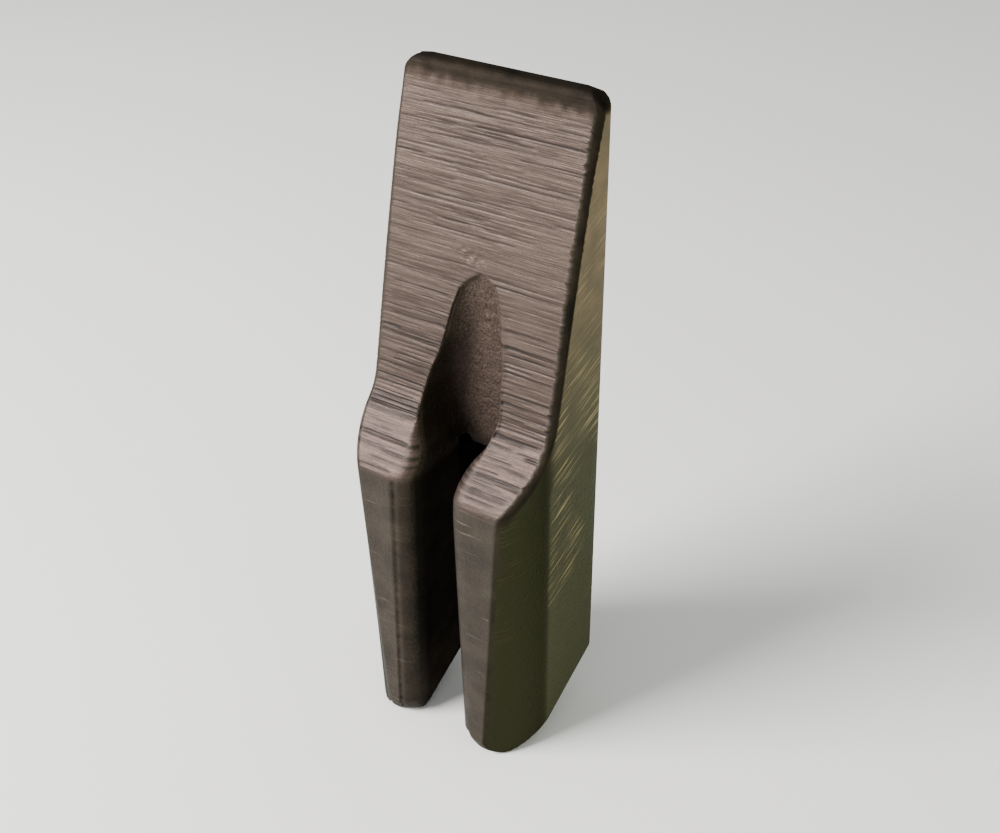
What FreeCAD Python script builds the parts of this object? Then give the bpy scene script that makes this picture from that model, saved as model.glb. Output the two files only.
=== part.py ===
import FreeCAD, Part
import Sketcher
import os
import re

# Forked steel wedge.  A thick forging: a tapering chisel blade on top, a pair of sloping
# shoulders in front, and two legs below that straddle a plate.  A spear-shaped scoop sinks
# into the blade above the slot and takes the nose of the plate.
#
# Frame: X is the width, Y the depth (the front looks to -Y), Z is up along the flat back.
# The legs' lowest points touch Z = 0 and the origin is in the middle of the width and depth.
# Inside the body the sketches measure depth from the back face; its Placement then moves it.

# Driving dimensions, millimetres (angles in degrees).
DIMENSIONS = [
    ("overall_height", 219.0, "lowest point of the legs to the tip"),
    ("body_width", 65.0, "across the two side faces"),
    ("tip_thickness", 5.8, "blade, just under its rounded tip"),
    ("blade_base_height", 120.0, "where the blade's slope meets the shoulder's"),
    ("blade_base_thickness", 28.9, "blade at that height"),
    ("shoulder_height", 101.7, "where the shoulder's slope meets the leg's front"),
    ("leg_depth", 47.8, "back face to the front of the legs"),
    ("sole_angle", 25.0, "slope of the legs' undersides, rising to the back"),
    ("toe_radius", 4.0, "front bottom edge of the legs"),
    ("heel_radius", 1.5, "back bottom edge of the legs"),
    ("hollow_radius", 20.0, "between blade and shoulder"),
    ("brow_radius", 3.0, "between shoulder and leg"),
    ("corner_radius", 2.4, "front edges of the blade and the tip"),
    ("tip_corner_radius", 3.6, "two upper corners of the blade, seen from the front"),
    ("crease_depth", 28.6, "back face to the crease where the side starts to curve in"),
    ("brow_half_width", 26.0, "half width of the leg's front at the shoulder"),
    ("toe_half_width", 19.7, "half width of the leg's front at the bottom"),
    ("flank_radius", 28.0, "curve of the flank between crease and front"),
    ("flank_margin", 10.0, "how far the flank's cut starts outside the forging"),
    ("slot_width", 16.2, "gap between the legs"),
    ("slot_lip_radius", 4.8, "front inner edges of the legs"),
    ("crotch_height", 95.0, "top of the slot at the back face"),
    ("crotch_radius", 9.0, "rounding of the slot's upper end"),
    ("scoop_floor_depth", 15.6, "back face to the floor of the scoop"),
    ("scoop_width", 27.4, "widest part of the scoop"),
    ("scoop_neck_height", 106.0, "where the slot starts to widen into the scoop"),
    ("scoop_waist_height", 120.5, "widest part of the scoop"),
    ("scoop_apex_height", 163.5, "point of the scoop on the blade"),
]

# The toe's rounding runs into the rounded lip beside it and has to stay smaller than that.
TOE_ROUND = "min(toe_radius; 0.84 * slot_lip_radius)"

# Where the undersides of the legs start in front (before the toe is rounded) and end behind,
# so that the rounded toe just touches Z = 0.
TOE_Z = TOE_ROUND + " * ( 1 - tan(sole_angle * 1deg) - 1 / cos(sole_angle * 1deg) )"
HEEL_Z = TOE_Z + " + leg_depth * tan(sole_angle * 1deg)"

# The flank is ruled between an outline under the toe and one over the shoulder.  Its front
# edge leans in from the shoulder to the toe.
FLANK_LEAN = "(brow_half_width - toe_half_width) / shoulder_height"
FLANK_HEIGHTS = {"FlankLow": "-flank_margin", "FlankHigh": "blade_base_height + flank_margin"}
FLANK_FRONT = {
    name: "toe_half_width + %s * (%s)" % (FLANK_LEAN, height)
    for name, height in FLANK_HEIGHTS.items()
}

# The pointed arch of the scoop: each side is an arc that leaves the waist straight upwards.
SCOOP_RISE = "(scoop_apex_height - scoop_waist_height)"
SCOOP_ARCH = "(%s ^ 2 / scoop_width + scoop_width / 4)" % SCOOP_RISE


def make_sheet(doc):
    """One row for each driving dimension: its name, its value and what it measures."""
    sheet = doc.addObject("Spreadsheet::Sheet", "Dims")
    for row, (alias, value, meaning) in enumerate(DIMENSIONS, start=1):
        sheet.set("A%d" % row, alias)
        sheet.set("B%d" % row, str(value))
        sheet.set("C%d" % row, meaning)
        sheet.setAlias("B%d" % row, alias)
    doc.recompute()
    return sheet


def dims(expression):
    """Put the sheet's name in front of each alias in an expression."""
    for alias, _, _ in DIMENSIONS:
        expression = re.sub(r"\b%s\b" % alias, "Dims." + alias, expression)
    return expression


def make_sketch(body, role, name, height=None):
    """A sketch on one of the body's own origin planes, raised along its normal if asked."""
    sketch = body.newObject("Sketcher::SketchObject", name)
    plane = next(part for part in body.Origin.OriginFeatures if part.Role == role)
    sketch.AttachmentSupport = (plane, [""])
    sketch.MapMode = "FlatFace"
    if height is not None:
        sketch.setExpression("AttachmentOffset.Base.z", dims(height))
    return sketch


def value_of(sketch, expression):
    """The number that an expression over the sheet gives now."""
    return float(sketch.evalExpression(dims(expression)))


def pin_point(sketch, geometry, end, place):
    """Fix a point of a sketch at a place given by two expressions."""
    for kind, axis, expression in (("DistanceX", -2, place[0]), ("DistanceY", -1, place[1])):
        if expression == "0":
            sketch.addConstraint(Sketcher.Constraint("PointOnObject", geometry, end, axis))
            continue
        value = value_of(sketch, expression)
        index = sketch.addConstraint(Sketcher.Constraint(kind, -1, 1, geometry, end, value))
        sketch.setExpression("Constraints[%d]" % index, dims(expression))


def draw_outline(sketch, corners, bulges=None):
    """A closed outline through corners given as expressions.

    A side whose number is in bulges is an arc: its radius, and the side of the chord that its
    centre lies on (+1 left, -1 right of the direction of travel)."""
    bulges = bulges or {}
    first = sketch.GeometryCount
    points = [FreeCAD.Vector(value_of(sketch, x), value_of(sketch, y), 0) for x, y in corners]
    count = len(points)
    for side in range(count):
        start = points[side]
        end = points[(side + 1) % count]
        if side in bulges:
            radius, hand = bulges[side]
            size = value_of(sketch, radius)
            number = sketch.addGeometry(arc_between(start, end, size, hand), False)
            index = sketch.addConstraint(Sketcher.Constraint("Radius", number, size))
            sketch.setExpression("Constraints[%d]" % index, dims(radius))
        else:
            sketch.addGeometry(Part.LineSegment(start, end), False)
    ends = [side_ends(bulges, side) for side in range(count)]
    for side in range(count):
        after = (side + 1) % count
        sketch.addConstraint(Sketcher.Constraint(
            "Coincident", first + side, ends[side][1], first + after, ends[after][0]))
        pin_point(sketch, first + side, ends[side][0], corners[side])


def side_ends(bulges, side):
    """Sketcher numbers an arc's ends anticlockwise, so a clockwise arc starts at its second."""
    if side in bulges and bulges[side][1] < 0:
        return (2, 1)
    return (1, 2)


def arc_between(start, end, radius, hand):
    """The shorter arc of a radius from start to end, its centre on the given side."""
    chord = end.sub(start)
    half = chord.Length / 2
    rise = (radius ** 2 - half ** 2) ** 0.5
    normal = FreeCAD.Vector(-chord.y, chord.x, 0).normalize() * (hand * rise)
    centre = (start + end) * 0.5 + normal
    outward = ((start + end) * 0.5 - centre).normalize()
    middle = centre + outward * radius
    return Part.Arc(start, middle, end)


def pocket(body, sketch, name, side):
    """Cut a sketch away right through the body; side is "One side" or "Symmetric"."""
    cut = body.newObject("PartDesign::Pocket", name)
    cut.Profile = sketch
    cut.Type = "ThroughAll"
    cut.SideType = side
    return cut


def edges_where(feature, test):
    """Names of the edges whose middle and direction pass a test."""
    names = []
    for number, edge in enumerate(feature.Shape.Edges, start=1):
        middle = edge.valueAt((edge.FirstParameter + edge.LastParameter) / 2)
        ends = [vertex.Point for vertex in edge.Vertexes]
        span = ends[-1].sub(ends[0])
        if test(middle, span):
            names.append("Edge%d" % number)
    return names


def fillet(body, name, base, names, radius):
    """Round the named edges of a feature."""
    rounding = body.newObject("PartDesign::Fillet", name)
    rounding.Base = (base, names)
    rounding.setExpression("Radius", dims(radius))
    return rounding


def make_blank(body):
    """The side view drawn out to the full width: blade, shoulder, leg and underside."""
    sketch = make_sketch(body, "YZ_Plane", "SideView")
    draw_outline(sketch, [
        ("0", HEEL_Z),
        ("0", "overall_height"),
        ("-tip_thickness", "overall_height"),
        ("-blade_base_thickness", "blade_base_height"),
        ("-leg_depth", "shoulder_height"),
        ("-leg_depth", TOE_Z),
    ])
    blank = body.newObject("PartDesign::Pad", "Blank")
    blank.Profile = sketch
    blank.SideType = "Symmetric"
    blank.setExpression("Length", dims("body_width"))
    return blank


def is_x_edge_at(depth, height):
    """A test for the edges across the width at one place of the side view."""
    def test(middle, span):
        crosswise = span.Length > 1 and abs(span.x) > 0.9 * span.Length
        return crosswise and abs(middle.y + depth) < 0.05 and abs(middle.z - height) < 0.05
    return test


def round_the_tip_corners(body, base, sheet):
    """Round the two upper corners of the blade, as seen from the front."""
    top = sheet.overall_height
    side = sheet.body_width / 2
    names = edges_where(base, lambda middle, span: (
        abs(middle.z - top) < 0.05 and abs(abs(middle.x) - side) < 0.05))
    return fillet(body, "TipCorners", base, names, "tip_corner_radius")


def round_x_edges(body, base, places):
    """Round edges across the width, each given as (name, depth, height, radius)."""
    for name, depth, height, radius in places:
        names = edges_where(base, is_x_edge_at(depth, height))
        base = fillet(body, name, base, names, radius)
        body.Document.recompute()
    return base


def round_the_shoulder(body, base, sheet):
    """Round the hollow under the blade and the brow over the leg."""
    return round_x_edges(body, base, [
        ("Hollow", sheet.blade_base_thickness, sheet.blade_base_height, "hollow_radius"),
        ("Brow", sheet.leg_depth, sheet.shoulder_height, "brow_radius"),
    ])


def round_the_feet(body, base, sheet):
    """Round the toe and the heel of both legs."""
    return round_x_edges(body, base, [
        ("Toe", sheet.leg_depth, value_of(body, TOE_Z), TOE_ROUND),
        ("Heel", 0.0, value_of(body, HEEL_Z), "heel_radius"),
    ])


def round_the_outline(body, base, sheet):
    """Round the outline of the sides and the tip: it is one smooth chain of edges."""
    names = edges_where(base, is_x_edge_at(sheet.tip_thickness, sheet.overall_height))
    return fillet(body, "Outline", base, names, "corner_radius")


def cut_the_flanks(body):
    """Below the blade the front narrows: each flank curves in from a crease on the side."""
    sections = []
    for name, height in FLANK_HEIGHTS.items():
        sketch = make_sketch(body, "XY_Plane", name, height)
        draw_outline(sketch, [
            ("body_width / 2", "-crease_depth"),
            (FLANK_FRONT[name], "-leg_depth"),
            (FLANK_FRONT[name], "-leg_depth - flank_margin"),
            ("body_width / 2 + flank_margin", "-leg_depth - flank_margin"),
            ("body_width / 2 + flank_margin", "-crease_depth"),
        ], {0: ("flank_radius", -1)})
        sections.append(sketch)
    flank = body.newObject("PartDesign::SubtractiveLoft", "Flank")
    flank.Profile = sections[0]
    flank.Sections = sections[1:]
    flank.Ruled = True
    body.Document.recompute()
    mirror = body.newObject("PartDesign::Mirrored", "OtherFlank")
    mirror.Originals = [flank]
    plane = next(part for part in body.Origin.OriginFeatures if part.Role == "YZ_Plane")
    mirror.MirrorPlane = (plane, [""])
    body.Tip = mirror
    return mirror


def slot_outline(body, name, top, depth=None):
    """The slot seen from the front, up to a height, on a plane at a depth from the back."""
    sketch = make_sketch(body, "XZ_Plane", name, depth)
    draw_outline(sketch, [
        ("slot_width / 2", "-10"),
        ("slot_width / 2", top),
        ("-slot_width / 2", top),
        ("-slot_width / 2", "-10"),
    ])
    return sketch


def cut_the_slot(body):
    """The slot runs right through; in front of the scoop's floor it reaches up to the neck."""
    through = slot_outline(body, "SlotView", "crotch_height")
    pocket(body, through, "Slot", "Symmetric")
    front = slot_outline(body, "NeckView", "scoop_neck_height", "scoop_floor_depth")
    cut = pocket(body, front, "Neck", "One side")
    cut.Reversed = True
    return cut


def round_the_lips(body, base, sheet):
    """Round the front inner edge of each leg."""
    side = sheet.slot_width / 2
    front = sheet.leg_depth
    names = edges_where(base, lambda middle, span: (
        abs(abs(middle.x) - side) < 0.05
        and abs(middle.y + front) < 0.05
        and abs(span.z) > 0.9 * span.Length))
    return fillet(body, "Lips", base, names, "slot_lip_radius")


def cut_the_scoop(body):
    """A spear-shaped recess above the slot, sunk from the front to a flat floor."""
    sketch = make_sketch(body, "XZ_Plane", "ScoopView", "scoop_floor_depth")
    draw_outline(sketch, [
        ("slot_width / 2", "crotch_height - 10"),
        ("slot_width / 2", "scoop_neck_height"),
        ("scoop_width / 2", "scoop_waist_height"),
        ("0", "scoop_apex_height"),
        ("-scoop_width / 2", "scoop_waist_height"),
        ("-slot_width / 2", "scoop_neck_height"),
        ("-slot_width / 2", "crotch_height - 10"),
    ], {2: (SCOOP_ARCH, 1), 3: (SCOOP_ARCH, 1)})
    cut = pocket(body, sketch, "Scoop", "One side")
    cut.Reversed = True
    return cut


def round_the_crotch(body, base, sheet):
    """Round the slot's upper end, where the scoop's floor turns over into the slot."""
    names = edges_where(base, is_x_edge_at(sheet.scoop_floor_depth, sheet.crotch_height))
    return fillet(body, "Crotch", base, names, "crotch_radius")


def make_wedge(doc, sheet):
    """The whole forging, each feature cut or rounded on the one before."""
    body = doc.addObject("PartDesign::Body", "Wedge")
    body.Label = "forked_wedge"
    doc.recompute()
    base = make_blank(body)
    doc.recompute()
    for step in (round_the_tip_corners, round_the_shoulder):
        base = step(body, base, sheet)
        doc.recompute()
    base = cut_the_slot(body)
    doc.recompute()
    for step in (round_the_lips, round_the_feet, round_the_outline):
        base = step(body, base, sheet)
        doc.recompute()
    cut_the_flanks(body)
    doc.recompute()
    base = cut_the_scoop(body)
    doc.recompute()
    round_the_crotch(body, base, sheet)
    body.setExpression("Placement.Base.y", dims("leg_depth / 2"))
    doc.recompute()
    return body


def check(doc, bodies):
    """Stop if any object failed, or a body is not one sound solid."""
    for item in doc.Objects:
        faults = {"Invalid", "Error"} & set(item.State)
        if faults:
            raise RuntimeError("%s is %s" % (item.Name, ", ".join(faults)))
    for body in bodies:
        shape = body.Shape
        if shape.isNull() or not shape.isValid() or len(shape.Solids) != 1:
            raise RuntimeError("%s is not one sound solid" % body.Label)


def check_features(body):
    """Every cut and rounding takes metal away from the one before."""
    volumes = [feature.Shape.Volume for feature in body.Group if feature.Shape.Solids]
    names = [feature.Name for feature in body.Group if feature.Shape.Solids]
    for name, before, after in zip(names[1:], volumes, volumes[1:]):
        if after >= before and name != "Hollow":
            raise RuntimeError("%s cuts nothing" % name)


def main():
    doc = FreeCAD.newDocument("forked_wedge")
    sheet = make_sheet(doc)
    bodies = [make_wedge(doc, sheet)]
    check(doc, bodies)
    for body in bodies:
        check_features(body)
    os.makedirs("parts", exist_ok=True)
    for body in bodies:
        body.Shape.exportStep("parts/%s.step" % body.Label)
        box = body.Shape.optimalBoundingBox()
        print(body.Label, "%.1f x %.1f x %.1f mm" % (box.XLength, box.YLength, box.ZLength),
              "%.0f mm3" % body.Shape.Volume)


main()
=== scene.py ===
# %% [markdown]
# # A forked steel wedge
# One forging of tool steel: a chisel blade on top, a sloping shoulder in front of each leg, and
# a slot between the legs that straddles a plate. The imported CAD model is the frame: it fixes the
# width, depth and height. The box is kept now.

# %% Load the frame
import math
import bmesh
import bpy
import numpy as np
from mathutils import Matrix, Vector


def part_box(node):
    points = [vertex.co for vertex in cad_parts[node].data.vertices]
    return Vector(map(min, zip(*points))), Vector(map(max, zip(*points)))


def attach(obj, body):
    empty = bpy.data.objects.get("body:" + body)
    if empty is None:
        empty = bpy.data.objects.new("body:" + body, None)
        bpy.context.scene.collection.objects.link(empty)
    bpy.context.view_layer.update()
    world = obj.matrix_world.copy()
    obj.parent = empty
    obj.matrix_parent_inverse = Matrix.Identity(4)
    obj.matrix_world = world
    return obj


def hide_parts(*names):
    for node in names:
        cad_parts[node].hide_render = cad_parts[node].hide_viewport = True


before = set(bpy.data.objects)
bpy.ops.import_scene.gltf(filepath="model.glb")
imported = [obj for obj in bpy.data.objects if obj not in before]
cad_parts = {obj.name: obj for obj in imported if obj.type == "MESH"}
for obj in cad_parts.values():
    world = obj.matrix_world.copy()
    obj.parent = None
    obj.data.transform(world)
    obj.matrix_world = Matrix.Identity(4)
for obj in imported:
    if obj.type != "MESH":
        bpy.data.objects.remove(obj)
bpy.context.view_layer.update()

MM = 0.001
LOW, HIGH = (np.array(corner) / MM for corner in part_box("forked_wedge"))
HALF_WIDTH, LEG_DEPTH, HEIGHT = (HIGH[0] - LOW[0]) / 2, HIGH[1] - LOW[1], HIGH[2]
BACK_Y = HIGH[1]
print("half width %.1f, depth %.1f, height %.1f mm" % (HALF_WIDTH, LEG_DEPTH, HEIGHT))

# %% [markdown]
# ## The side view
# Seen from the side the forging is a thin tip that swells down to the shoulder, then an upright
# leg. It could be drawn as a spline, but three straight lines joined by soft corners say what a
# smith does: a ground taper, a ground shoulder and an as-forged leg. "Depth" is measured
# forwards from the flat back, so that every later step works in depth, width and height.

# %% Depth of the front at each height
SHOULDER_Z, BASE_Z = 101.7, 120.0
BASE_DEPTH, TIP_DEPTH, CROWN = 28.7, 5.6, 0.9


def soft_max(a, b, k):
    """The larger of two values, with a rounded change-over of size k."""
    return (a + b + np.sqrt((a - b) ** 2 + k * k)) / 2


def soft_min(a, b, k):
    """The smaller of two values, with a rounded change-over of size k."""
    return (a + b - np.sqrt((a - b) ** 2 + k * k)) / 2


def smooth(x):
    """Zero below 0, one above 1, and an S-shaped rise between."""
    x = np.clip(x, 0, 1)
    return x * x * (3 - 2 * x)


def front_depth(z):
    """Blade taper plus a slight crown, raised to the shoulder's slope and capped at the leg."""
    up = (z - BASE_Z) / (HEIGHT - BASE_Z)
    blade = BASE_DEPTH + (TIP_DEPTH - BASE_DEPTH) * up + 4 * CROWN * np.clip(up * (1 - up), 0, 1)
    fall = (LEG_DEPTH - BASE_DEPTH) / (BASE_Z - SHOULDER_Z)
    shoulder = LEG_DEPTH - fall * (z - SHOULDER_Z)
    return soft_min(LEG_DEPTH, soft_max(shoulder, blade, 3.0), 1.2)


print("front at 50, 110, 160, 210 mm:", np.round(front_depth(np.array([50, 110, 160, 210.0])), 1))

# %% [markdown]
# ## The flanks, the slot and the scoop
# Below the blade each flank curves in from a crease on the side to a narrower leg front. The
# slot has the draft of a forging, so it is a little wider at the feet. The scoop above it was
# pressed in: its left rim was ground sharp and its right rim kept a soft, dished edge, so each
# rim has its own table of half widths. The tables are joined by straight pieces and then blurred.

# %% Outlines as functions of height
CREASE_DEPTH, FLANK_RADIUS = 28.6, 26.3
BROW_HALF, TOE_HALF = 26.0, 19.7
SLOT_TOP, SLOT_FOOT = 7.1, 9.3
CROTCH_Z, CROTCH_RADIUS = 95.0, 9.0
NECK_Z = CROTCH_Z + CROTCH_RADIUS
RIM = {
    1: ([0, 95, 105, 107.5, 109.2, 111, 112.7, 114.7, 116.9, 119.3, 122.4, 124.9, 128.6, 134.6,
         140.5, 146.3, 152, 156, 159, 163, 172, 190],
        [SLOT_FOOT, SLOT_TOP, 7.4, 8.0, 8.7, 9.6, 11, 12.1, 12.8, 13.3, 13.7, 13.6, 13.1, 12.4,
         11.4, 10.3, 9.2, 8.3, 7.4, 6.6, 7.5, 11]),
    -1: ([0, 95, 105, 108, 110, 112.3, 114.4, 116, 117.4, 120, 124, 127.6, 131.8, 135.4, 138.9,
          141.8, 145.1, 148.7, 151.6, 154, 156, 158, 163, 172, 190],
         [SLOT_FOOT, SLOT_TOP, 7.4, 8.0, 9.7, 11.2, 12.2, 12.8, 13.4, 13.8, 13.4, 12.7, 11.6,
          10.1, 9.1, 8.6, 7.9, 7.3, 6.8, 6.0, 5.4, 4.8, 4.6, 6.5, 11]),
}
LIP = {
    1: ([0, 100, 104, 118, 121, 132, 138, 146, 153, 157, 163, 172, 190],
        [15.4, 13.2, 12.9, 13.4, 14.6, 13.6, 13.7, 13.6, 12.6, 10.8, 8.5, 10, 17]),
    -1: ([0, 100, 104, 115, 120, 124, 131.8, 138.9, 145.1, 151.6, 156, 163, 172, 190],
         [15.6, 13.3, 12.9, 13.0, 14.1, 13.7, 11.9, 9.4, 8.2, 7.1, 5.8, 5.4, 9, 17]),
}
APEX_LINE = ([-4.6, -2.0, 1.8, 3.3, 5.5, 7.4, 9], [158.0, 160.7, 163.6, 162.7, 161.7, 160.6, 158])


def table(z, pairs, blur=1.2):
    """Straight-line table lookup, averaged over five heights so that its corners soften."""
    steps = blur * np.array([-1, -0.5, 0, 0.5, 1])
    return sum(np.interp(z + step, *pairs) for step in steps) / len(steps)


def flank_x(depth, z):
    """Half width of the side: upright to the crease, then a circular arc to the leg's front."""
    end_x = TOE_HALF + (BROW_HALF - TOE_HALF) * z / SHOULDER_Z
    run_x, run_d = end_x - HALF_WIDTH, LEG_DEPTH - CREASE_DEPTH
    chord = np.hypot(run_x, run_d)
    rise = np.sqrt(FLANK_RADIUS ** 2 - chord ** 2 / 4)
    centre_x = (HALF_WIDTH + end_x) / 2 - run_d / chord * rise
    centre_d = (CREASE_DEPTH + LEG_DEPTH) / 2 + run_x / chord * rise
    arc = centre_x + np.sqrt(np.maximum(FLANK_RADIUS ** 2 - (depth - centre_d) ** 2, 0))
    return np.where(depth < CREASE_DEPTH, HALF_WIDTH, np.minimum(arc, HALF_WIDTH))


def scoop_floor(z):
    """Depth of the scoop's floor: nearly upright, a little shallower towards the point."""
    return np.interp(z, [90, 125, 150, 163], [14.6, 15.4, 17.0, 18.6])


print("flank at the toe front: %.1f mm" % flank_x(LEG_DEPTH, 0.0))

# %% [markdown]
# ## Rows and columns
# The steel is one closed skin. Rows run round it at about one height and columns run up it. The
# rows are close together on the blade, where the grinding lines are, and further apart on the
# legs. At the feet each row is lifted to the sloping sole, and at the slot's closed end it dips
# to the back, so the same rows serve the whole forging.

# %% Heights of the rows
EDGE_ROUND, NOSE_RADIUS = 1.2, 2.9
FOOT_STEPS = np.array([0, 0.12, 0.3, 0.6, 1])
LEG_TOP = 96.0
LEG_ROWS = np.concatenate([EDGE_ROUND * FOOT_STEPS, np.linspace(2, LEG_TOP, 118)])
NECK_ROWS = np.linspace(LEG_TOP, NECK_Z, 15)[1:]
BLADE_ROWS = np.linspace(NECK_Z, HEIGHT - NOSE_RADIUS, 391)[1:]
ROWS = np.concatenate([LEG_ROWS, NECK_ROWS, BLADE_ROWS])
NECK_ROW = len(LEG_ROWS) + len(NECK_ROWS) - 1
print(len(ROWS), "rows; the slot closes at row", NECK_ROW)

# %% Bending the rows to the sole, the roof and the corners
SOLE_SLOPE, TOE_RADIUS, INNER_TOE_RADIUS = 0.466, 4.0, 6.5
INNER_LEAN = (0.82, 0.57)
SOLE_FADE, ROOF_FADE = 62.0, 30.0
DIP_END = 15.0
TIP_CORNER = 3.8


def sole_height(depth, x):
    """The sole plane, rounded by a circle at the toe and by another at the inner front corner."""
    tilt = math.atan(SOLE_SLOPE)
    toe = TOE_RADIUS * (1 - SOLE_SLOPE - 1 / math.cos(tilt))
    plane = toe + SOLE_SLOPE * (LEG_DEPTH - depth)
    reach = np.clip(depth - (LEG_DEPTH - TOE_RADIUS), 0, TOE_RADIUS)
    circle = TOE_RADIUS - np.sqrt(TOE_RADIUS ** 2 - reach ** 2)
    touching = LEG_DEPTH - TOE_RADIUS * (1 + math.sin(tilt))
    back_arc = TOE_RADIUS - np.sqrt(np.maximum(
        TOE_RADIUS ** 2 - (depth - (LEG_DEPTH - TOE_RADIUS)) ** 2, 0))
    sole = np.where(depth < touching, plane, np.where(depth < LEG_DEPTH - TOE_RADIUS,
                                                      back_arc, circle))
    corner = INNER_LEAN[0] * depth - INNER_LEAN[1] * (np.abs(x) - SLOT_FOOT)
    start = INNER_LEAN[0] * LEG_DEPTH - 2.4 - INNER_TOE_RADIUS
    reach = np.clip(corner - start, 0, INNER_TOE_RADIUS)
    inner = INNER_TOE_RADIUS - np.sqrt(INNER_TOE_RADIUS ** 2 - reach ** 2)
    return np.maximum(sole, inner)


def roof_dip(depth):
    """How far the slot's closed end lies under the neck row: a quarter circle, then flat."""
    inside = np.clip(depth - (scoop_floor(NECK_Z) - CROTCH_RADIUS), 0, CROTCH_RADIUS)
    return np.sqrt(CROTCH_RADIUS ** 2 - inside ** 2)


def side_dip(depth):
    """The same dip as seen on the outside, where it fades evenly from the back forwards."""
    return CROTCH_RADIUS * (1 - smooth(depth / DIP_END))


def lift(t, depth, x, dip=roof_dip):
    """Height of a point: its row's height, bent to the sole, to the roof and at the corners."""
    z = t + sole_height(depth, x) * np.clip(1 - t / SOLE_FADE, 0, 1)
    z = z - dip(depth) * np.clip(1 - np.abs(t - NECK_Z) / ROOF_FADE, 0, 1)
    side = np.clip(np.abs(x) - (HALF_WIDTH - TIP_CORNER), 0, TIP_CORNER)
    drop = TIP_CORNER - np.sqrt(TIP_CORNER ** 2 - side ** 2)
    return z - drop * smooth((t - 196) / 20)


print("sole at the heel: %.1f mm up" % sole_height(0.0, HALF_WIDTH))

# %% [markdown]
# ## The grinding
# The front was ground across on a coarse belt: long shallow scratches run side to side, begin
# and end anywhere, and leave the front edge on the right ragged. Each scratch is one straight
# furrow with its own height, ends, slope and depth, and the furrows are added up.

# %% Furrows across the front
RANDOM = np.random.default_rng(11)
FURROWS = 620


def furrow_table():
    """Height, tilt, both ends, width and depth of every scratch, as columns of one array."""
    z = np.sort(RANDOM.uniform(103, 214, FURROWS))
    z[:400] = RANDOM.uniform(102, 165, 400)
    tilt = RANDOM.normal(0, 0.006, FURROWS)
    middle = RANDOM.uniform(-30, 30, FURROWS)
    half = RANDOM.gamma(2.2, 4.2, FURROWS)
    width = RANDOM.uniform(0.14, 0.27, FURROWS)
    depth = RANDOM.gamma(1.8, 0.045, FURROWS) * (1 + 0.6 * smooth((150 - z) / 30))
    deep = np.array([[119.0, -0.004, -24, 11, 0.42, 0.34], [117.7, -0.002, -23, 12, 0.40, 0.42],
                     [116.6, 0.0, -22, 12, 0.36, 0.36], [115.4, 0.002, -24, 9, 0.34, 0.28],
                     [105.4, 0.0, 17, 7, 0.34, 0.24], [109.6, 0.0, 20, 7, 0.30, 0.20],
                     [112.4, 0.0, 18, 9, 0.30, 0.18], [131.0, 0.0, 22, 10, 0.36, 0.22],
                     [137.5, 0.003, 20, 9, 0.36, 0.22], [143.0, 0.004, 24, 8, 0.34, 0.2]])
    return np.vstack([np.column_stack([z, tilt, middle, half, width, depth]), deep]).T


def furrows(x, z):
    """Sum over the scratches of depth x bell(height offset / width) x soft ends."""
    total = np.zeros(np.broadcast(x, z).shape)
    for height, tilt, middle, half, width, depth in FURROW.T:
        rows = np.flatnonzero(np.abs(z[:, 0] - height) < 4)
        if not len(rows):
            continue
        part = slice(rows[0], rows[-1] + 1)
        away = (z[part] - height - tilt * (x[part] - middle)) / width
        ends = smooth((half - np.abs(x[part] - middle)) / 3 + 1)
        total[part] += depth * np.exp(-away ** 2) * ends
    return total


def streaks(x, z, reach=9.0, seed=3):
    """Fine streaks: fresh random values for each row, blended along the width."""
    dice = np.random.default_rng(seed)
    knots = np.arange(-40, 41, reach)
    values = dice.normal(0, 1, (z.shape[0], len(knots)))
    place = (x + 40) / reach
    left = np.clip(place.astype(int), 0, len(knots) - 2)
    share = smooth(place - left)
    rows = np.arange(z.shape[0])[:, None]
    return values[rows, left] * (1 - share) + values[rows, left + 1] * share


FURROW = furrow_table()
RAGGED = np.interp(ROWS, 0.62 * np.arange(360), RANDOM.gamma(1.6, 0.28, 360))
print(FURROW.shape[1], "furrows, deepest %.2f mm" % FURROW[5].max())

# %% [markdown]
# ## One side of the skin
# Each row of one side is a path: from the slot's back corner over the back, the side, the
# curved flank, the front corner, the ground flat, the lip and the wall of the scoop. Its
# parts always have the same number of points, so the points line up into columns.

# %% The path round one side
COUNTS = {"back": 5, "heel": 4, "side": 8, "flank": 9, "corner": 6, "flat": 22, "lip": 8,
          "wall": 7}
EDGES = dict(zip(["start"] + list(COUNTS), np.cumsum([1] + list(COUNTS.values()))))
BACK_ROUND = 1.8
FACE_ROUND = {1: 1.7, -1: 0.7}
FLOOR_ROUND = {1: 3.0, -1: 6.5}
RAGGED_SHARE = {1: 1.0, -1: 0.25}
SOFT_RIM_SHARE = {1: 1.0, -1: 0.15}
ROLL = ([0, 100, 112, 119], [6.0, 6.0, 3.2, 0.5])
SPLIT_SHARE, UNDERCUT = 0.62, 0.8


def shares(count):
    """Even steps from 0 to 1 for one part; its first point belongs to the part before."""
    return np.linspace(0, 1, count + 1)[1:]


def bend_points(start, corner, end, u):
    """A rounded corner: the quadratic curve that leaves for the corner and arrives from it."""
    return [(1 - u) ** 2 * a + 2 * u * (1 - u) * b + u * u * c
            for a, b, c in zip(start, corner, end)]


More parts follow.
